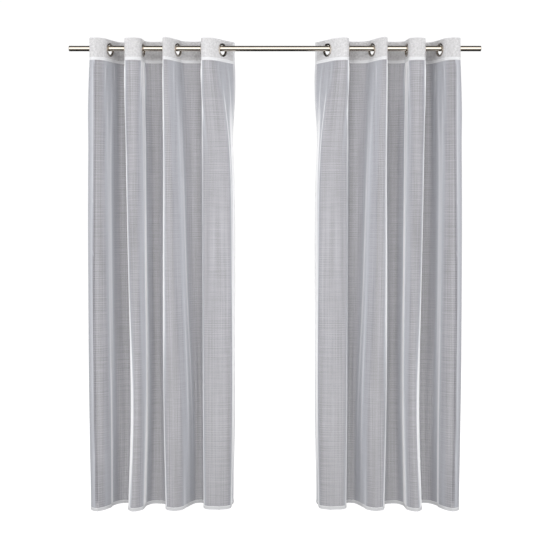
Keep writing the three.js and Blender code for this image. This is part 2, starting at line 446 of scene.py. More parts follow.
def line_at(z):
    """Evenly spaced points of the cloth's line at a height, and the way across it there."""
    key = round(float(z), 5)
    if key not in LINE_CACHE:
        gone, line = cloth_line(float(np.clip((HEADER_FOOT - z) / FREE_DROP, 0, 1)))
        even = np.linspace(0, PANEL_WIDTH, 1373)
        spots = np.stack([np.interp(even, gone, line[:, k]) for k in (0, 1)], axis=1)
        for _ in range(3):
            spots[1:-1] = (spots[:-2] + 2 * spots[1:-1] + spots[2:]) / 4
        ways = np.gradient(spots, axis=0)
        ways /= np.linalg.norm(ways, axis=1)[:, None]
        LINE_CACHE[key] = (even, spots, ways)
    return LINE_CACHE[key]


def ripple(across, z):
    """How far the cloth stands off its main line: soft flutes, a ridge in each fold and pulls
    that run down from the eyelets."""
    cloth = settings().cloth
    fall = np.clip((HEADER_FOOT - z) / FREE_DROP, 0, 1)
    loose = smoothstep(fall / 0.12)
    bay = (across - MARGIN_CLOTH) / BAY_CLOTH
    flutes = (
        np.sin(2 * math.pi * (across / 0.071 + 0.35 * np.sin(2.1 * fall + 9 * across)))
        + 0.6 * np.sin(2 * math.pi * (across / 0.043 - 0.5 * fall + 0.3 * np.sin(4 * fall)))
        + 0.5 * np.sin(2 * math.pi * (across / 0.118 + 0.8 * fall))
    )
    middle = bay - np.floor(bay) - 0.5 + 0.07 * np.sin(3.3 * fall + 2.4 * np.floor(bay))
    ridges = np.exp(-((middle * BAY_CLOTH / 0.0045) ** 2))
    pulls = np.zeros_like(across)
    for i in range(EYELETS):
        start = MARGIN_CLOTH + i * BAY_CLOTH
        for side in (-1, 1):
            crease = start + side * (0.026 + 0.06 * fall * 2.2)
            pulls += side * np.exp(-(((across - crease) / 0.008) ** 2))
    fade = smoothstep(fall / 0.02) * np.exp(-((fall / 0.17) ** 2))
    return (
        cloth.flute * 0.5 * loose * flutes * (0.7 + 0.3 * np.sin(5 * fall + 11 * across))
        + cloth.ridge * loose * ridges
        + cloth.pull * fade * pulls
    )


def cloth_points(across, z, offset):
    """Points on the left panel at distances across the flat cloth, heights and offsets."""
    across, z, offset = np.broadcast_arrays(
        np.asarray(across, float), np.asarray(z, float), np.asarray(offset, float)
    )
    out = np.zeros(across.shape + (3,))
    for height in np.unique(np.round(z, 6)):
        at = np.abs(z - height) < 1e-6
        even, spots, ways = line_at(height)
        s = across[at]
        x, y = (np.interp(s, even, spots[:, k]) for k in (0, 1))
        wx, wy = (np.interp(s, even, ways[:, k]) for k in (0, 1))
        length = np.hypot(wx, wy)
        off = offset[at] + ripple(s, np.full_like(s, height))
        out[at] = np.stack([x + wy / length * off, y - wx / length * off, z[at]], axis=1)
    return out


def flat_grid(low, high, top, foot):
    """Distances across and heights of a grid over part of the flat cloth."""
    cloth = settings().cloth
    columns = np.linspace(low, high, max(2, round((high - low) / cloth.column_step)) + 1)
    ring = cloth.column_step
    near_top = max(foot, EYELET_Z - 0.06)
    fine = np.linspace(top, near_top, max(2, round((top - near_top) / ring)) + 1)
    rest = np.array([])
    if near_top > foot + 1e-6:
        rest = np.linspace(near_top, foot, max(2, round((near_top - foot) / cloth.row_step)) + 1)[1:]
    rows = np.concatenate([fine, rest])
    return np.meshgrid(columns, rows)


def cloth_layer(name, side, low, high, top, foot, offset, thickness, holes):
    """One closed layer of a panel's cloth, with its UV map in metres across and up."""
    across, z = flat_grid(low, high, top, foot)
    index = np.arange(across.size).reshape(across.shape)
    quads = np.stack([index[:-1, :-1], index[1:, :-1], index[1:, 1:], index[:-1, 1:]], axis=-1)
    quads = quads.reshape(-1, 4)
    s, h = across.ravel().copy(), z.ravel().copy()
    if holes:
        keep = np.ones(len(quads), bool)
        for i in range(EYELETS):
            ring = MARGIN_CLOTH + i * BAY_CLOTH
            reach = np.hypot(s - ring, h - EYELET_Z)
            inside = reach < HOLE_RADIUS
            keep &= ~(inside[quads].sum(1) >= 3)
        used = quads[keep]
        for i in range(EYELETS):
            ring = MARGIN_CLOTH + i * BAY_CLOTH
            reach = np.hypot(s - ring, h - EYELET_Z)
            removed = np.unique(quads[~keep])
            edge = np.intersect1d(removed, np.unique(used))
            edge = edge[reach[edge] < 2 * HOLE_RADIUS]
            scale = HOLE_RADIUS / reach[edge]
            s[edge] = ring + (s[edge] - ring) * scale
            h[edge] = EYELET_Z + (h[edge] - EYELET_Z) * scale
        quads = used
    points = np.zeros((s.size, 3))
    loose = np.abs(h - z.ravel()) > 1e-7
    points[~loose] = cloth_points(s[~loose], h[~loose], offset)
    if loose.any():
        points[loose] = cloth_points(s[loose], np.full(loose.sum(), HEADER_FOOT + 0.01), offset)
        points[loose, 2] = h[loose]
    obj = new_object(name, mirrored(points, side), quads if side == "left" else quads[:, ::-1])
    uv = obj.data.uv_layers.new(name="Cloth")
    corner = np.zeros(len(obj.data.loops), np.int32)
    obj.data.loops.foreach_get("vertex_index", corner)
    flat = np.stack([s[corner], h[corner] - CLOTH_FOOT], axis=1)
    uv.data.foreach_set("uv", flat.ravel())
    select_only(obj)
    bpy.ops.object.mode_set(mode="EDIT")
    bpy.ops.mesh.select_all(action="DESELECT")
    bpy.ops.mesh.select_mode(type="VERT")
    bpy.ops.mesh.select_loose()
    bpy.ops.mesh.delete(type="VERT")
    bpy.ops.object.mode_set(mode="OBJECT")
    add_modifier(obj, "SOLIDIFY", thickness=thickness, offset=0, use_quality_normals=True)
    select_only(obj)
    bpy.ops.object.shade_smooth()
    note_turn(obj, side)
    return obj


def note_turn(obj, side):
    """Keeps, as the attribute Turn, how far each point of the hung cloth faces sideways: 0 to 1.
    It is the mask for the painted highlight on the sides of the folds and for how far the cloth
    closes up there; it rises sooner on the outward side, so that the thin outward edges are
    painted white, and the outermost fold is painted lighter."""
    mesh = obj.data
    normals = np.zeros(len(mesh.vertices) * 3, np.float32)
    mesh.vertices.foreach_get("normal", normals)
    normals = normals.reshape(-1, 3)
    level = np.hypot(normals[:, 0], normals[:, 1])
    turn = np.where(level > 0.3, 1 - np.abs(normals[:, 1]) / np.maximum(level, 0.3), 0)
    sign = -1 if side == "left" else 1
    # Painted highlight: the mask rises sooner on the outward side, so its thin edges are painted white
    # sooner; the inward side rises a little slower.
    outward = normals[:, 0] * sign > 0
    turn = np.minimum(turn * np.where(outward, TURN_OUTWARD, TURN_INWARD), 1)
    points = np.zeros(len(mesh.vertices) * 3, np.float32)
    mesh.vertices.foreach_get("co", points)
    points = points.reshape(-1, 3)
    heights = points[:, 2].round(3)
    # Painted highlight: the outermost fold, where it turns back, has its mask raised towards a middle
    # value, so it is painted lighter and closes up more.
    for height in np.unique(heights):
        row = heights == height
        inward = (points[row, 0] * sign).max() - points[row, 0] * sign
        outermost = np.clip((OUTERMOST_FOLD - inward) / 0.003, 0, 1)
        outermost *= np.clip((0.03 - points[row, 1]) / 0.05, 0, 1)
        turn[row] += outermost * (np.minimum(0.42 + inward * 10, 0.7) - turn[row])
    mesh.attributes.new("Turn", "FLOAT", "POINT").data.foreach_set("value", turn.astype(np.float32))


def binding(name, side, low, high, foot, top, section):
    """A strip folded round a bottom edge: a closed section of (offset, height) swept across."""
    cloth = settings().cloth
    columns = np.linspace(low, high, round((high - low) / (cloth.column_step * 0.6)) + 1)
    ring = len(section)
    rows = []
    for offset, height in section:
        pucker = 0.00025 * np.sin(2 * math.pi * columns / 0.011 + 40 * height) * (height > 0.002)
        at = np.full_like(columns, foot + height * (top - foot))
        rows.append(cloth_points(columns, at, offset + pucker * np.sign(offset)))
    points = np.stack(rows, axis=1).reshape(-1, 3)
    faces = []
    for c in range(len(columns) - 1):
        for k in range(ring):
            a, b = c * ring + k, c * ring + (k + 1) % ring
            faces.append((a, b, b + ring, a + ring))
    last = (len(columns) - 1) * ring
    faces.append(tuple(range(ring))[::-1])
    faces.append(tuple(last + k for k in range(ring)))
    obj = new_object(name, mirrored(points, side), faces)
    uv = obj.data.uv_layers.new(name="Cloth")
    for loop in obj.data.loops:
        column, k = divmod(loop.vertex_index, ring)
        uv.data[loop.index].uv = (columns[column], section[k][1] * (top - foot))
    fix_normals(obj)
    return obj


def fix_normals(obj):
    select_only(obj)
    bpy.ops.object.mode_set(mode="EDIT")
    bpy.ops.mesh.select_all(action="SELECT")
    bpy.ops.mesh.normals_make_consistent(inside=False)
    bpy.ops.object.mode_set(mode="OBJECT")
    bpy.ops.object.shade_smooth()


def hang(obj):
    """Bakes the piece's place into its mesh and leaves it at the origin."""
    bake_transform(obj)


# ---------------------------------------------------------------------------
# Node helpers and groups


def link(tree, source, target):
    tree.links.new(source, target)


def node(tree, kind, **values):
    made = tree.nodes.new(kind)
    for key, value in values.items():
        setattr(made, key, value)
    return made


def math_node(tree, operation, a, b=None, c=None, clamp=False):
    made = node(tree, "ShaderNodeMath", operation=operation, use_clamp=clamp)
    for slot_index, value in enumerate((a, b, c)):
        if value is None:
            continue
        if isinstance(value, (int, float)):
            made.inputs[slot_index].default_value = value
        else:
            link(tree, value, made.inputs[slot_index])
    return made.outputs[0]


def times(tree, a, b):
    return math_node(tree, "MULTIPLY", a, b)


def larger(tree, a, b):
    return math_node(tree, "MAXIMUM", a, b)


def rest_of(tree, value):
    return math_node(tree, "SUBTRACT", 1.0, value)


def band(tree, value, start, end):
    """0 below start, 1 above end, smooth between; start may be above end."""
    made = node(tree, "ShaderNodeMapRange", interpolation_type="SMOOTHSTEP", clamp=True)
    link(tree, value, made.inputs["Value"])
    made.inputs["From Min"].default_value = start
    made.inputs["From Max"].default_value = end
    return made.outputs["Result"]


def mix_colour(tree, factor, a, b):
    made = node(tree, "ShaderNodeMix", data_type="RGBA")
    for socket, value in ((made.inputs[0], factor), (made.inputs[6], a), (made.inputs[7], b)):
        if isinstance(value, (int, float)):
            socket.default_value = value
        elif isinstance(value, (tuple, list)):
            socket.default_value = (*value, 1) if len(value) == 3 else value
        else:
            link(tree, value, socket)
    return made.outputs[2]


def noise(tree, vector, scale, detail=3.0, rough=0.5):
    made = node(tree, "ShaderNodeTexNoise")
    made.inputs["Scale"].default_value = scale
    made.inputs["Detail"].default_value = detail
    made.inputs["Roughness"].default_value = rough
    link(tree, vector, made.inputs["Vector"])
    return made.outputs["Fac"]


def stretched(tree, vector, scale):
    made = node(tree, "ShaderNodeMapping")
    made.inputs["Scale"].default_value = scale
    link(tree, vector, made.inputs["Vector"])
    return made.outputs["Vector"]


def new_group(name, inputs, outputs):
    tree = bpy.data.node_groups.new(name, "ShaderNodeTree")
    for label, kind, default in inputs:
        socket = tree.interface.new_socket(name=label, in_out="INPUT", socket_type=kind)
        if default is not None:
            socket.default_value = default
    for label, kind in outputs:
        tree.interface.new_socket(name=label, in_out="OUTPUT", socket_type=kind)
    return tree, node(tree, "NodeGroupInput"), node(tree, "NodeGroupOutput")


def weave_group():
    """Plain weave: threads that pass over and under, with slubs along the weft and streaks down the
    warp. Vector is in metres across and down the cloth."""
    if "Plain weave" in bpy.data.node_groups:
        return bpy.data.node_groups["Plain weave"]
    tree, given, out = new_group(
        "Plain weave",
        [("Vector", "NodeSocketVector", None), ("Pitch", "NodeSocketFloat", 0.001)],
        [("Thread", "NodeSocketFloat"), ("Height", "NodeSocketFloat"), ("Slub", "NodeSocketFloat")],
    )
    vector = given.outputs["Vector"]
    parts = node(tree, "ShaderNodeSeparateXYZ")
    link(tree, vector, parts.inputs[0])
    wobble = noise(tree, vector, 45.0, 1.0)
    turns = []
    for axis in (0, 1):
        shifted = math_node(tree, "MULTIPLY_ADD", wobble, 0.0012, parts.outputs[axis])
        cycles = math_node(tree, "DIVIDE", shifted, given.outputs["Pitch"])
        turns.append(times(tree, cycles, math.pi))
    warp = math_node(tree, "ABSOLUTE", math_node(tree, "SINE", turns[0]))
    weft = math_node(tree, "ABSOLUTE", math_node(tree, "SINE", turns[1]))
    thread = math_node(tree, "MAXIMUM", warp, weft)
    over = times(tree, *(math_node(tree, "SINE", turn) for turn in turns))
    height = math_node(tree, "MULTIPLY_ADD", over, 0.25, times(tree, thread, 0.7))
    weft_slub = noise(tree, stretched(tree, vector, (7, 260, 1)), 1.0, 2.0)
    warp_streak = noise(tree, stretched(tree, vector, (170, 1.3, 1)), 1.0, 2.0)
    coarse = noise(tree, stretched(tree, vector, (34, 3.0, 1)), 1.0, 1.0)
    slub = math_node(tree, "MULTIPLY_ADD", weft_slub, 0.36, times(tree, warp_streak, 0.4))
    slub = math_node(tree, "MULTIPLY_ADD", coarse, 0.24, slub)
    patches = band(tree, noise(tree, stretched(tree, vector, (9, 4, 1)), 1.0, 1.0), 0.35, 0.65)
    for axis, pitch, share in ((0, 0.0071, 0.16), (1, 0.0103, 0.1)):
        cycle = times(tree, parts.outputs[axis], 2 * math.pi / pitch)
        rib = math_node(tree, "SINE", cycle)
        slub = math_node(tree, "MULTIPLY_ADD", times(tree, rib, patches), share * 0.5, slub)
    link(tree, thread, out.inputs["Thread"])
    link(tree, height, out.inputs["Height"])
    link(tree, slub, out.inputs["Slub"])
    return tree


def crinkle_group():
    """The dimpled, mottled look of cloth that is fused to a stiffener; its colour follows the same cells
    as the dimples, partly random tone and partly painted shade that darkens them.
    """
    if "Crinkle" in bpy.data.node_groups:
        return bpy.data.node_groups["Crinkle"]
    tree, given, out = new_group(
        "Crinkle",
        [("Vector", "NodeSocketVector", None), ("Size", "NodeSocketFloat", 0.012)],
        [("Height", "NodeSocketFloat"), ("Mottle and dent shade", "NodeSocketFloat")],
    )
    scaled = node(tree, "ShaderNodeVectorMath", operation="DIVIDE")
    link(tree, given.outputs["Vector"], scaled.inputs[0])
    link(tree, given.outputs["Size"], scaled.inputs[1])
    broad = noise(tree, scaled.outputs[0], 1.0, 4.0, 0.6)
    cells = node(tree, "ShaderNodeTexVoronoi", feature="SMOOTH_F1")
    cells.inputs["Scale"].default_value = 1.7
    link(tree, scaled.outputs[0], cells.inputs["Vector"])
    height = math_node(tree, "MULTIPLY_ADD", cells.outputs["Distance"], 0.5, broad)
    link(tree, height, out.inputs["Height"])
    # Partly painted shade: the colour follows the same cells as the height, so it is darker in the
    # dimples.
    mottle_and_dent_shade = math_node(tree, "MULTIPLY_ADD", cells.outputs["Distance"], 0.3, broad)
    link(tree, mottle_and_dent_shade, out.inputs["Mottle and dent shade"])
    return tree


def satin_group():
    """Fine brushed grain along one direction, with faint rub marks."""
    if "Satin grain" in bpy.data.node_groups:
        return bpy.data.node_groups["Satin grain"]
    tree, given, out = new_group(
        "Satin grain",
        [("Vector", "NodeSocketVector", None)],
        [("Grain", "NodeSocketFloat"), ("Rub", "NodeSocketFloat")],
    )
    vector = given.outputs["Vector"]
    fine = noise(tree, vector, 1.0, 4.0, 0.65)
    rub = noise(tree, stretched(tree, vector, (0.06, 0.06, 0.06)), 1.0, 3.0, 0.6)
    link(tree, fine, out.inputs["Grain"])
    link(tree, band(tree, rub, 0.45, 0.75), out.inputs["Rub"])
    return tree


def use_group(tree, group, **values):
    made = node(tree, "ShaderNodeGroup", node_tree=group)
    for key, value in values.items():
        if isinstance(value, (int, float)):
            made.inputs[key].default_value = value
        else:
            link(tree, value, made.inputs[key])
    return made


def new_material(name):
    material = bpy.data.materials.new(name)
    material.use_nodes = True
    tree = material.node_tree
    return material, tree, tree.nodes["Principled BSDF"]


def cloth_uv(tree):
    uv = node(tree, "ShaderNodeUVMap", uv_map="Cloth")
    parts = node(tree, "ShaderNodeSeparateXYZ")
    link(tree, uv.outputs[0], parts.inputs[0])
    return uv.outputs[0], parts.outputs[0], parts.outputs[1]


def bump(tree, shader, height, strength, distance, normal=None):
    made = node(tree, "ShaderNodeBump")
    made.inputs["Strength"].default_value = strength
    made.inputs["Distance"].default_value = distance
    link(tree, height, made.inputs["Height"])
    if normal is not None:
        link(tree, normal, made.inputs["Normal"])
    if shader is not None:
        link(tree, made.outputs[0], shader.inputs["Normal"])
    return made.outputs[0]


# ---------------------------------------------------------------------------
# Materials


def cloth_finish(shader, sheen, sheen_roughness):
    """Dull cloth with a soft sheen."""
    shader.inputs["Roughness"].default_value = 0.8
    shader.inputs["Specular IOR Level"].default_value = 0.15
    shader.inputs["Sheen Weight"].default_value = sheen
    shader.inputs["Sheen Roughness"].default_value = sheen_roughness


def voile_material():
    """Sheer plain-weave voile: see-through where it hangs flat, closed up in the sides of its folds,
    where a highlight is painted lighter and then white.
    """
    cloth = settings().cloth
    material, tree, shader = new_material("Sheer voile")
    vector, across, _ = cloth_uv(tree)
    weave = use_group(tree, weave_group(), Vector=vector, Pitch=cloth.thread_pitch)
    thread, height, slub = (weave.outputs[k] for k in ("Thread", "Height", "Slub"))

    outer = band(tree, across, OUTER_HEM + 0.0004, OUTER_HEM - 0.0004)
    fold = band(tree, across, 0.009, 0.0075)
    leading = band(tree, across, PANEL_WIDTH - SIDE_HEM - 0.0004, PANEL_WIDTH - SIDE_HEM + 0.0004)
    turned_in = larger(tree, outer, leading)
    paler = larger(tree, larger(tree, times(tree, outer, 0.5), times(tree, leading, 0.3)), fold)

    slub_shade = node(tree, "ShaderNodeMapRange")
    link(tree, slub, slub_shade.inputs["Value"])
    slub_shade.inputs["From Min"].default_value = 0.36
    slub_shade.inputs["From Max"].default_value = 0.64
    threads = mix_colour(tree, slub_shade.outputs[0], tint(cloth.sheer, 0.78), tint(cloth.sheer, 1.22))
    # Painted highlight: by the Turn mask the sides of the folds are painted a lighter bluish colour, and
    # white where they stand edge on; the turned hems are then made whiter.
    turned = node(tree, "ShaderNodeAttribute", attribute_name="Turn").outputs["Fac"]
    painted_oblique_highlight = mix_colour(tree, band(tree, turned, 0.12, 0.6), threads, tuple(cloth.painted_oblique_highlight))
    painted_edge_highlight = mix_colour(tree, band(tree, turned, 0.55, 0.97), painted_oblique_highlight, tuple(cloth.edge))
    shade = mix_colour(tree, paler, painted_edge_highlight, tuple(cloth.edge))
    link(tree, shade, shader.inputs["Base Color"])

    by_thread = math_node(tree, "SUBTRACT", thread, 0.64)
    by_slub = math_node(tree, "SUBTRACT", slub, 0.5)
    cover = math_node(tree, "MULTIPLY_ADD", by_thread, 0.3, cloth.cover)
    cover = math_node(tree, "MULTIPLY_ADD", by_slub, 0.36, cover, clamp=True)
    square_on = larger(tree, rest_of(tree, turned), 0.12)
    layers = math_node(tree, "DIVIDE", 1.0, square_on)
    closed = rest_of(tree, math_node(tree, "POWER", rest_of(tree, cover), layers))
    alpha = math_node(tree, "MAXIMUM", closed, times(tree, turned_in, 0.9), clamp=True)
    link(tree, alpha, shader.inputs["Alpha"])

    cloth_finish(shader, 0.55, 0.35)
    rough = bump(tree, None, slub, 0.35, 0.0012)
    bump(tree, shader, height, 0.3, 0.0004, rough)
    return material


def header_material():
    """Doubled voile over the stiffener: opaque, mottled, partly by painted shade in its dimples, with a
    stitched seam along its foot.
    """
    cloth = settings().cloth
    material, tree, shader = new_material("Stiffened header")
    vector, across, up = cloth_uv(tree)
    weave = use_group(tree, weave_group(), Vector=vector, Pitch=cloth.thread_pitch)
    crinkle = use_group(tree, crinkle_group(), Vector=vector, Size=0.009)
    foot = HEADER_FOOT - CLOTH_FOOT
    top = HEADER_TOP - CLOTH_FOOT
    seam_top = band(tree, up, foot + 0.0135, foot + 0.012)
    seam = times(tree, seam_top, band(tree, up, foot - 0.001, foot + 0.0004))
    edge = band(tree, up, top - 0.004, top - 0.001)
    outer = band(tree, across, SIDE_HEM + 0.0006, SIDE_HEM - 0.0006)
    leading = band(tree, across, PANEL_WIDTH - SIDE_HEM - 0.0006, PANEL_WIDTH - SIDE_HEM + 0.0006)
    raised = larger(tree, larger(tree, seam, edge), larger(tree, outer, leading))
    # Partly painted shade: darker where the crinkle's dimples are, with a random tone besides.
    mottle_and_dent_shade = band(tree, crinkle.outputs["Mottle and dent shade"], 0.35, 0.95)
    plain = mix_colour(tree, mottle_and_dent_shade, tint(cloth.header, 0.78), tint(cloth.header, 1.12))
    slub = times(tree, weave.outputs["Slub"], 0.25)
    plain = mix_colour(tree, slub, plain, tuple(cloth.hem))
    link(tree, mix_colour(tree, raised, plain, tuple(cloth.hem)), shader.inputs["Base Color"])
    cloth_finish(shader, 0.4, 0.4)
    rough = bump(tree, None, crinkle.outputs["Height"], 0.7, 0.0024)
    steps = bump(tree, None, raised, 0.6, 0.0008, rough)
    bump(tree, shader, weave.outputs["Height"], 0.3, 0.0004, steps)
    return material


def buckram_material():
    """Open, stiff weave of the header's inner layer."""
    material, tree, shader = new_material("Buckram")
    vector, _, _ = cloth_uv(tree)
    weave = use_group(tree, weave_group(), Vector=vector, Pitch=0.0024)
    shade = mix_colour(tree, weave.outputs["Thread"], (0.55, 0.55, 0.54), (0.86, 0.86, 0.85))
    link(tree, shade, shader.inputs["Base Color"])
    shader.inputs["Roughness"].default_value = 0.75
    bump(tree, shader, weave.outputs["Height"], 0.6, 0.0008)
    return material


def hem_material():
    """Turned hem: several layers, whiter and closer than the sheer cloth, with a stitched groove."""
    cloth = settings().cloth
    material, tree, shader = new_material("Turned hem")
    vector, _, up = cloth_uv(tree)
    weave = use_group(tree, weave_group(), Vector=vector, Pitch=cloth.thread_pitch)
    tall = HEM_TOP - CLOTH_FOOT
    middle = band(tree, up, tall * 0.16, tall * 0.34)
    middle = times(tree, middle, band(tree, up, tall * 0.84, tall * 0.66))
    dull = tint(cloth.hem, 0.8)
    shade = mix_colour(tree, times(tree, middle, 0.75), tuple(cloth.hem), dull)
    shade = mix_colour(tree, times(tree, weave.outputs["Slub"], 0.3), shade, dull)
    link(tree, shade, shader.inputs["Base Color"])
    cloth_finish(shader, 0.4, 0.4)
    groove = bump(tree, None, rest_of(tree, middle), 0.5, 0.0008)
    bump(tree, shader, weave.outputs["Height"], 0.3, 0.0004, groove)
    return material


def satin_metal(name, colour, roughness, stretch):
    """Satin plated metal with fine grain along one axis, given by how each axis is stretched."""
    material, tree, shader = new_material(name)
    where = node(tree, "ShaderNodeTexCoord")
    vector = stretched(tree, where.outputs["Object"], stretch)
    satin = use_group(tree, satin_group(), Vector=vector)
    dark = tint(colour, 0.9)
    shade = mix_colour(tree, satin.outputs["Grain"], dark, tint(colour, 1.06))
    shade = mix_colour(tree, times(tree, satin.outputs["Rub"], 0.3), shade, dark)
    link(tree, shade, shader.inputs["Base Color"])
    shader.inputs["Metallic"].default_value = 1.0
    level = math_node(tree, "MULTIPLY_ADD", satin.outputs["Grain"], 0.12, roughness - 0.06)
    level = math_node(tree, "MULTIPLY_ADD", satin.outputs["Rub"], 0.08, level, clamp=True)
    link(tree, level, shader.inputs["Roughness"])
    bump(tree, shader, satin.outputs["Grain"], 0.06, 0.0002)
    return material


def thread_material():
    stitch = settings().stitch
    material, tree, shader = new_material("Sewing thread")
    where = node(tree, "ShaderNodeTexCoord")
    twist = noise(tree, stretched(tree, where.outputs["Object"], (1500, 1500, 1500)), 1.0, 1.0)
    shade = mix_colour(tree, twist, tint(stitch.colour, 0.85), tuple(stitch.colour))
    link(tree, shade, shader.inputs["Base Color"])
    shader.inputs["Roughness"].default_value = 0.6
    bump(tree, shader, twist, 0.4, 0.0002)
    return material


def tint(colour, share):
    """A colour made darker or lighter by a share."""
    return tuple(min(1, c * share) for c in colour)


def made_once(name, make):
    return bpy.data.materials.get(name) or make()


# ---------------------------------------------------------------------------
# Pieces


def make_rod():
    rod = settings().rod
    half = ROD_HIGH.x
    c = rod.chamfer
    inner = ROD_RADIUS - ROD_WALL
    profile = [
        (inner, -half), (ROD_RADIUS - c, -half), (ROD_RADIUS, -half + c),
        (ROD_RADIUS, half - c), (ROD_RADIUS - c, half), (inner, half),
    ]
    tube = turned("rod", profile, rod.sides)
    place(tube, Matrix.Rotation(math.pi / 2, 4, "Y"))
    smooth(tube)
    metal = satin_metal("Satin rod", tuple(rod.colour), rod.roughness, (60, 5200, 5200))
    finish_piece(tube, metal, "rod", "rod_tube")
    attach(tube, "rod")

    head = PLUG_HIGH.x - half
    spigot = PLUG_LOW.x - half
    snug = inner - SPIGOT_PLAY
    r = ROD_RADIUS
    clear = 0.0003
    outline = [
        (0, spigot), (snug - 0.001, spigot), (snug, spigot + 0.001), (snug, clear), (r - 0.0003, clear),
        (r, clear + 0.0003), (r, head - c), (r - c, head), (r * 0.82, head), (r * 0.78, head - 0.0004),
        (r * 0.3, head - 0.0004), (r * 0.26, head - 0.0001), (0, head - 0.0001),
    ]
    plug_metal = satin_metal("Satin plug", tint(rod.colour, 0.88), 0.3, (900, 900, 900))
    for side, sign in (("left", -1), ("right", 1)):
        plug = turned(f"rod_plug_{side}", outline, rod.sides, ring=False)
        turn = Matrix.Rotation(sign * math.pi / 2, 4, "Y")
        place(plug, Matrix.Translation((sign * half, 0, 0)) @ turn)
        fix_normals(plug)
        smooth(plug)
        finish_piece(plug, plug_metal, "rod_plug", f"rod_end_plug_{side}")
        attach(plug, "rod")


def front_ring_profile():
    """Barrel, rolled back edge and domed flange, as one closed outline."""
    e = settings().eyelet
    barrel = e.bore + e.barrel_wall
    outside = e.bore + e.flange
    back = BACK_SEAT - 0.0017
    top = RING_SEAT + e.dome
    lip = 0.0006
    profile = [(e.bore, back + lip), (e.bore + lip, back), (barrel, back), (barrel, RING_SEAT)]
    profile += [(outside - 0.0002, RING_SEAT)]
    profile += arc((outside - 0.0012, RING_SEAT + 0.0011), 0.0012, -25, 70, 4)
    profile += [(outside - e.flange * 0.34, top - 0.0003), (outside - e.flange * 0.55, top)]
    profile += arc((e.bore + 0.0017, top - 0.0017), 0.0017, 90, 180, 5)
    return profile


def back_ring_profile():
    e = settings().eyelet
    inside = e.bore + e.barrel_wall + 0.0003
    outside = e.bore + e.flange
    profile = [(inside, BACK_SEAT), (inside, BACK_SEAT - 0.0014), (inside + 0.001, BACK_SEAT - 0.0023)]
    profile += [(outside - e.flange * 0.4, BACK_SEAT - 0.0024)]
    profile += [(outside - 0.0014, BACK_SEAT - 0.0015), (outside, BACK_SEAT - 0.0005)]
    return profile + [(outside, BACK_SEAT)]


def make_eyelets():
    e = settings().eyelet
    metal = satin_metal("Satin eyelet", tuple(e.colour), e.roughness, (1800, 1800, 1800))
    masters = {"front": turned("ring_front", front_ring_profile(), e.sides)}
    masters["back"] = turned("ring_back", back_ring_profile(), e.sides)
    for side in SIDES:
        mirror = Vector((1 if side == "left" else -1, 1, 1))
        for i, (middle, axis) in enumerate(PLACES):
            face = Vector(axis) * mirror
            turn = Vector((0, 0, 1)).rotation_difference(face).to_matrix().to_4x4()
            matrix = Matrix.Translation(Vector(middle) * mirror) @ turn
            body = f"{side}_panel" if i == 0 else f"{side}_eyelet_{i + 1}"
            for part, master in masters.items():
                mesh = master.data.copy()
                ring = bpy.data.objects.new(f"{side}_ring_{i + 1}_{part}", mesh)
                bpy.context.scene.collection.objects.link(ring)
                place(ring, matrix)
                smooth(ring, 40)
                finish_piece(ring, metal, "eyelet", f"{side}_eyelet_{i + 1}_{part}")
                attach(ring, body)
    for master in masters.values():
        bpy.data.objects.remove(master)


def make_cloth(side):
    """The sheer drop with its header, the stiffener, the facing and the turned hems of one panel."""
    whole = (0, PANEL_WIDTH)
    foot = CLOTH_FOOT + 0.0024
    sheer = cloth_layer(f"{side}_cloth", side, *whole, HEADER_TOP, foot, 0, CLOTH_THICKNESS, True)
    sheer.data.materials.append(made_once("Sheer voile", voile_material))
    sheer.data.materials.append(made_once("Stiffened header", header_material))
    in_header = [int(p.center.z > HEADER_FOOT) for p in sheer.data.polygons]
    sheer.data.polygons.foreach_set("material_index", in_header)
    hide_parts(f"{side}_sheer_panel")

    stiffener = cloth_layer(
        f"{side}_stiffener", side, *whole, HEADER_TOP - STIFFENER_INSET, HEADER_FOOT + STIFFENER_INSET,
        STIFFENER_MIDDLE, STIFFENER_THICKNESS, True,
    )
    buckram = made_once("Buckram", buckram_material)
    finish_piece(stiffener, buckram, "header_buckram", f"{side}_header_stiffener")
    facing = cloth_layer(
        f"{side}_facing", side, *whole, HEADER_TOP, HEADER_FOOT, FACING_MIDDLE, CLOTH_THICKNESS, True
    )
    header_stuff = made_once("Stiffened header", header_material)
    finish_piece(facing, header_stuff, "header", f"{side}_header_facing")

    hem_stuff = made_once("Turned hem", hem_material)
    hems = []
    for edge, low, high in (("outer", 0, OUTER_HEM), ("leading", PANEL_WIDTH - SIDE_HEM, PANEL_WIDTH)):
        strip = cloth_layer(
            f"{side}_side_hem_{edge}_turned", side, low, high, HEADER_FOOT - 0.0003, HEM_TOP + 0.0003,
            SIDE_HEM_MIDDLE, CLOTH_THICKNESS, False,
        )
        finish_piece(strip, hem_stuff, "hem", f"{side}_side_hem_{edge}")
        hems.append(strip)
    # The bottom hem's section, up its face, round its foot and back inside: offset, share of its height.
    section = [
        (0.0016, 1.0), (0.0018, 0.5), (0.0016, 0.09), (0.001, 0.0), (-0.001, 0.0), (-0.0016, 0.09),
        (-0.0018, 0.5), (-0.0016, 1.0), (-0.0007, 1.0), (-0.0007, 0.12), (0.0007, 0.12), (0.0007, 1.0),
    ]
    bottom = binding(f"{side}_bottom_hem_turned", side, *whole, CLOTH_FOOT, HEM_TOP, section)
    smooth(bottom, 50)
    finish_piece(bottom, hem_stuff, "hem", f"{side}_bottom_hem")
    hems.append(bottom)
    stitches = make_stitches(side)
    for piece in (sheer, stiffener, facing, *hems, stitches):
        hang(piece)
    high = HEADER_TOP - HEADER_FOOT


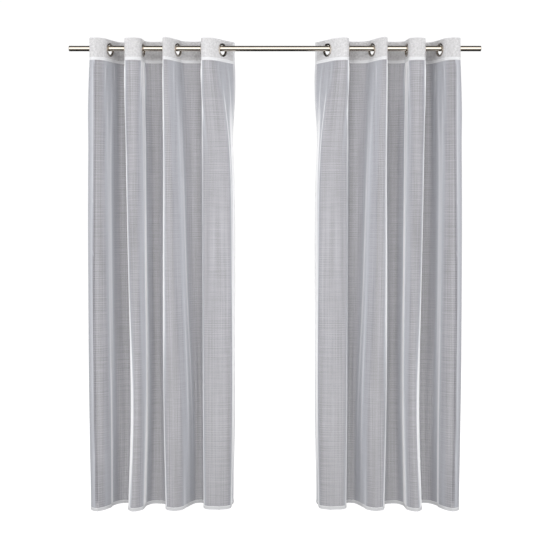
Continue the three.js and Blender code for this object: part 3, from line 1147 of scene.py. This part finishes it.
def stitch_row(side, starts, ends):
    """Corners and faces of a row of short stitches between pairs of points on the cloth."""
    stitch = settings().stitch
    a, b = mirrored(starts, side), mirrored(ends, side)
    way = b - a
    long = np.linalg.norm(way, axis=1)[:, None]
    way = way / long
    up = np.where(np.abs(way[:, 2:3]) > 0.7, np.array([[1.0, 0, 0]]), np.array([[0, 0, 1.0]]))
    one = np.cross(way, up)
    one /= np.linalg.norm(one, axis=1)[:, None]
    two = np.cross(way, one)
    rings = []
    for share, size in ((0.0, 0.35), (0.25, 1.0), (0.75, 1.0), (1.0, 0.35)):
        for k in range(5):
            angle = 2 * math.pi * k / 5
            spread = (one * math.cos(angle) + two * math.sin(angle)) * stitch.thread * size
            rings.append(a + way * long * share + spread)
    corners = np.stack(rings, axis=1)
    faces = []
    for first in (0, 5, 10):
        for k in range(5):
            a, b = first + k, first + (k + 1) % 5
            faces.append((a, b, b + 5, a + 5))
    caps = [(4, 3, 2, 1, 0), (15, 16, 17, 18, 19)]
    return corners, faces + caps


def make_stitches(side):
    """Every visible row of stitching of one panel, on the cloth's face and on its back."""
    stitch = settings().stitch
    rows = []
    across = np.arange(0.006, PANEL_WIDTH - 0.006 - stitch.length, stitch.pitch)
    lift = 0.0001
    level_rows = (
        (HEADER_FOOT + 0.002, (CLOTH_HALF + lift, FACING_MIDDLE - CLOTH_HALF - lift)),
        (HEADER_FOOT + 0.0115, (CLOTH_HALF + lift, FACING_MIDDLE - CLOTH_HALF - lift)),
        (HEM_TOP - 0.0022, (0.0017, -0.0017)),
    )
    for z, offsets in level_rows:
        for offset in offsets:
            starts = cloth_points(across, z, offset)
            rows.append((starts, cloth_points(across + stitch.length, z, offset)))
    down = np.arange(HEM_TOP + 0.006, HEADER_FOOT - 0.006 - stitch.length, stitch.pitch)
    for s in (OUTER_HEM - 0.0022, PANEL_WIDTH - SIDE_HEM + 0.0022):
        for offset in (CLOTH_HALF + lift, -0.0019):
            full = np.linspace(HEM_TOP, HEADER_FOOT, 200)
            line = cloth_points(np.full_like(full, s), full, offset)
            low = np.stack([np.interp(down, full, line[:, k]) for k in range(3)], axis=1)
            high = np.stack([np.interp(down + stitch.length, full, line[:, k]) for k in range(3)], axis=1)
            rows.append((low, high))
    corners, faces, base = [], [], 0
    for starts, ends in rows:
        points, pattern = stitch_row(side, starts, ends)
        for block in points:
            corners.append(block)
            faces.extend(tuple(base + v for v in face) for face in pattern)
            base += len(block)
    obj = new_object(f"{side}_stitching", np.concatenate(corners), faces)
    fix_normals(obj)
    finish_piece(obj, made_once("Sewing thread", thread_material), "hem")
    return obj


# ---------------------------------------------------------------------------
# Stage


def make_floor():
    """A plain pale floor that glows a little, so that it is as light as what is behind it."""
    stage = settings().stage
    bpy.ops.object.select_all(action="DESELECT")
    bpy.ops.mesh.primitive_plane_add(size=60, location=(0, 0, CLOTH_FOOT - stage.floor_gap))
    floor = bpy.context.active_object
    floor.name = "floor"
    material, tree, shader = new_material("Pale floor")
    where = node(tree, "ShaderNodeTexCoord")
    speck = noise(tree, where.outputs["Object"], 3.0, 2.0)
    pale = tuple(stage.floor)
    link(tree, mix_colour(tree, speck, tint(pale, 0.985), pale), shader.inputs["Base Color"])
    shader.inputs["Roughness"].default_value = 0.9
    shader.inputs["Specular IOR Level"].default_value = 0.0
    shader.inputs["Emission Color"].default_value = (1, 1, 1, 1)
    shader.inputs["Emission Strength"].default_value = 0.82
    floor.data.materials.append(material)
    floor.visible_glossy = False
    floor.visible_diffuse = False


def make_world():
    """White behind everything, soft light on the cloth, and a studio for the metal to mirror."""
    world = bpy.data.worlds.new("Studio")
    bpy.context.scene.world = world
    world.use_nodes = True
    tree = world.node_tree
    background = tree.nodes["Background"]
    path = node(tree, "ShaderNodeLightPath")
    where = node(tree, "ShaderNodeTexCoord")
    parts = node(tree, "ShaderNodeSeparateXYZ")
    link(tree, where.outputs["Generated"], parts.inputs[0])
    up, back = parts.outputs[2], parts.outputs[1]
    in_front = band(tree, back, -0.05, -0.3)
    softbox = times(tree, band(tree, up, -0.5, -0.22), band(tree, up, 0.72, 0.42))
    softbox = times(tree, softbox, in_front)
    low = times(tree, band(tree, up, -0.98, -0.7), in_front)
    glow = math_node(tree, "MULTIPLY_ADD", low, 0.26, 0.02)
    behind = times(tree, band(tree, up, -0.3, -0.1), band(tree, up, 0.6, 0.4))
    behind = times(tree, behind, band(tree, back, 0.72, 0.86))
    glow = math_node(tree, "MULTIPLY_ADD", behind, 1.3, glow)
    mirrored_light = math_node(tree, "MULTIPLY_ADD", softbox, 1.9, glow)
    soft = math_node(tree, "MULTIPLY_ADD", band(tree, back, 0.4, -0.7), 0.54, 0.34)
    seen = times(tree, path.outputs["Is Camera Ray"], 1.03)
    not_camera = rest_of(tree, path.outputs["Is Camera Ray"])
    glossy = times(tree, path.outputs["Is Glossy Ray"], mirrored_light)
    not_glossy = rest_of(tree, path.outputs["Is Glossy Ray"])
    diffuse = times(tree, not_glossy, soft)
    rest = times(tree, not_camera, math_node(tree, "ADD", glossy, diffuse))
    link(tree, math_node(tree, "ADD", seen, rest), background.inputs["Strength"])
    background.inputs["Color"].default_value = (1, 1, 1, 1)


def area_light(name, spot, target, size, power, colour):
    """A soft lamp that lights the cloth, and that neither the camera nor the metal sees."""
    data = bpy.data.lights.new(name, "AREA")
    data.shape = "RECTANGLE"
    data.size, data.size_y = size
    data.energy = power
    data.color = colour
    lamp = bpy.data.objects.new(name, data)
    bpy.context.scene.collection.objects.link(lamp)
    lamp.location = spot
    lamp.rotation_euler = (Vector(target) - Vector(spot)).to_track_quat("-Z", "Y").to_euler()
    lamp.visible_glossy = False
    lamp.visible_camera = False


def make_lights():
    """One lamp between the panels, one high in front, one behind, and one beyond each end of the rod."""
    middle = (0, 0, -1.0)
    area_light("strip", (0, -0.75, -0.8), (0, 0, -0.8), (0.2, 1.6), 3.0, (0.96, 0.98, 1))
    area_light("key", (-0.6, -3.3, 1.9), (0, 0, -0.6), (3.2, 1.8), 52, (1, 0.99, 0.98))
    area_light("fill", (0.5, 3.4, 1.2), middle, (3.2, 2.2), 72, (1, 0.99, 0.98))
    for sign in (-1, 1):
        spot = (sign * 2.9, -1.1, -0.45)
        area_light(f"rim_{sign}", spot, (sign * 0.5, 0, -0.9), (0.9, 2.6), 33, (0.97, 0.985, 1))


def make_camera():
    stage = settings().stage
    data = bpy.data.cameras.new("camera")
    data.lens, data.sensor_width = stage.lens, 36
    data.shift_y = stage.shift
    camera = bpy.data.objects.new("camera", data)
    bpy.context.scene.collection.objects.link(camera)
    camera.location = (0, -stage.distance, stage.eye_height)
    camera.rotation_euler = (math.pi / 2, 0, 0)
    bpy.context.scene.camera = camera


# ---------------------------------------------------------------------------
# Operators and panel


class CURTAINS_OT_rod(bpy.types.Operator):
    """Make the rod tube and the plugs in its ends"""

    bl_idname = "curtains.rod"
    bl_label = "Rod and plugs"

    def execute(self, context):
        make_rod()
        return {"FINISHED"}


class CURTAINS_OT_eyelets(bpy.types.Operator):
    """Make both rings of every eyelet"""

    bl_idname = "curtains.eyelets"
    bl_label = "Eyelets"

    def execute(self, context):
        make_eyelets()
        return {"FINISHED"}


class CURTAINS_OT_panels(bpy.types.Operator):
    """Make the cloth, header, hems and stitching of both panels"""

    bl_idname = "curtains.panels"
    bl_label = "Curtain panels"

    def execute(self, context):
        for side in SIDES:
            make_cloth(side)
        return {"FINISHED"}


class CURTAINS_OT_stage(bpy.types.Operator):
    """Make the floor, the lights and the camera"""

    bl_idname = "curtains.stage"
    bl_label = "Stage"

    def execute(self, context):
        make_floor()
        make_world()
        make_lights()
        make_camera()
        context.scene.view_settings.view_transform = "Standard"
        context.scene.cycles.transparent_max_bounces = 32
        return {"FINISHED"}


class CURTAINS_PT_panel(bpy.types.Panel):
    """Buttons that make each group of pieces, with their sizes"""

    bl_label = "Curtains"
    bl_idname = "CURTAINS_PT_panel"
    bl_space_type = "VIEW_3D"
    bl_region_type = "UI"
    bl_category = "Curtains"

    def draw(self, context):
        groups = context.scene.curtains
        for operator, name in (
            ("curtains.rod", "rod"), ("curtains.eyelets", "eyelet"),
            ("curtains.panels", "cloth"), ("curtains.stage", "stage"),
        ):
            box = self.layout.box()
            box.operator(operator)
            group = getattr(groups, name)
            for key in group.__annotations__:
                box.prop(group, key)


CLASSES = (
    RodSettings, EyeletSettings, ClothSettings, StitchSettings, StageSettings, CurtainSettings,
    CURTAINS_OT_rod, CURTAINS_OT_eyelets, CURTAINS_OT_panels, CURTAINS_OT_stage, CURTAINS_PT_panel,
)


def register():
    for cls in CLASSES:
        bpy.utils.register_class(cls)
    bpy.types.Scene.curtains = bpy.props.PointerProperty(type=CurtainSettings)


def unregister():
    del bpy.types.Scene.curtains
    for cls in reversed(CLASSES):
        bpy.utils.unregister_class(cls)


def main():
    register()
    bpy.ops.curtains.rod()
    bpy.ops.curtains.eyelets()
    bpy.ops.curtains.panels()
    bpy.ops.curtains.stage()
    bpy.context.view_layer.update()


if __name__ == "__main__":
    main()
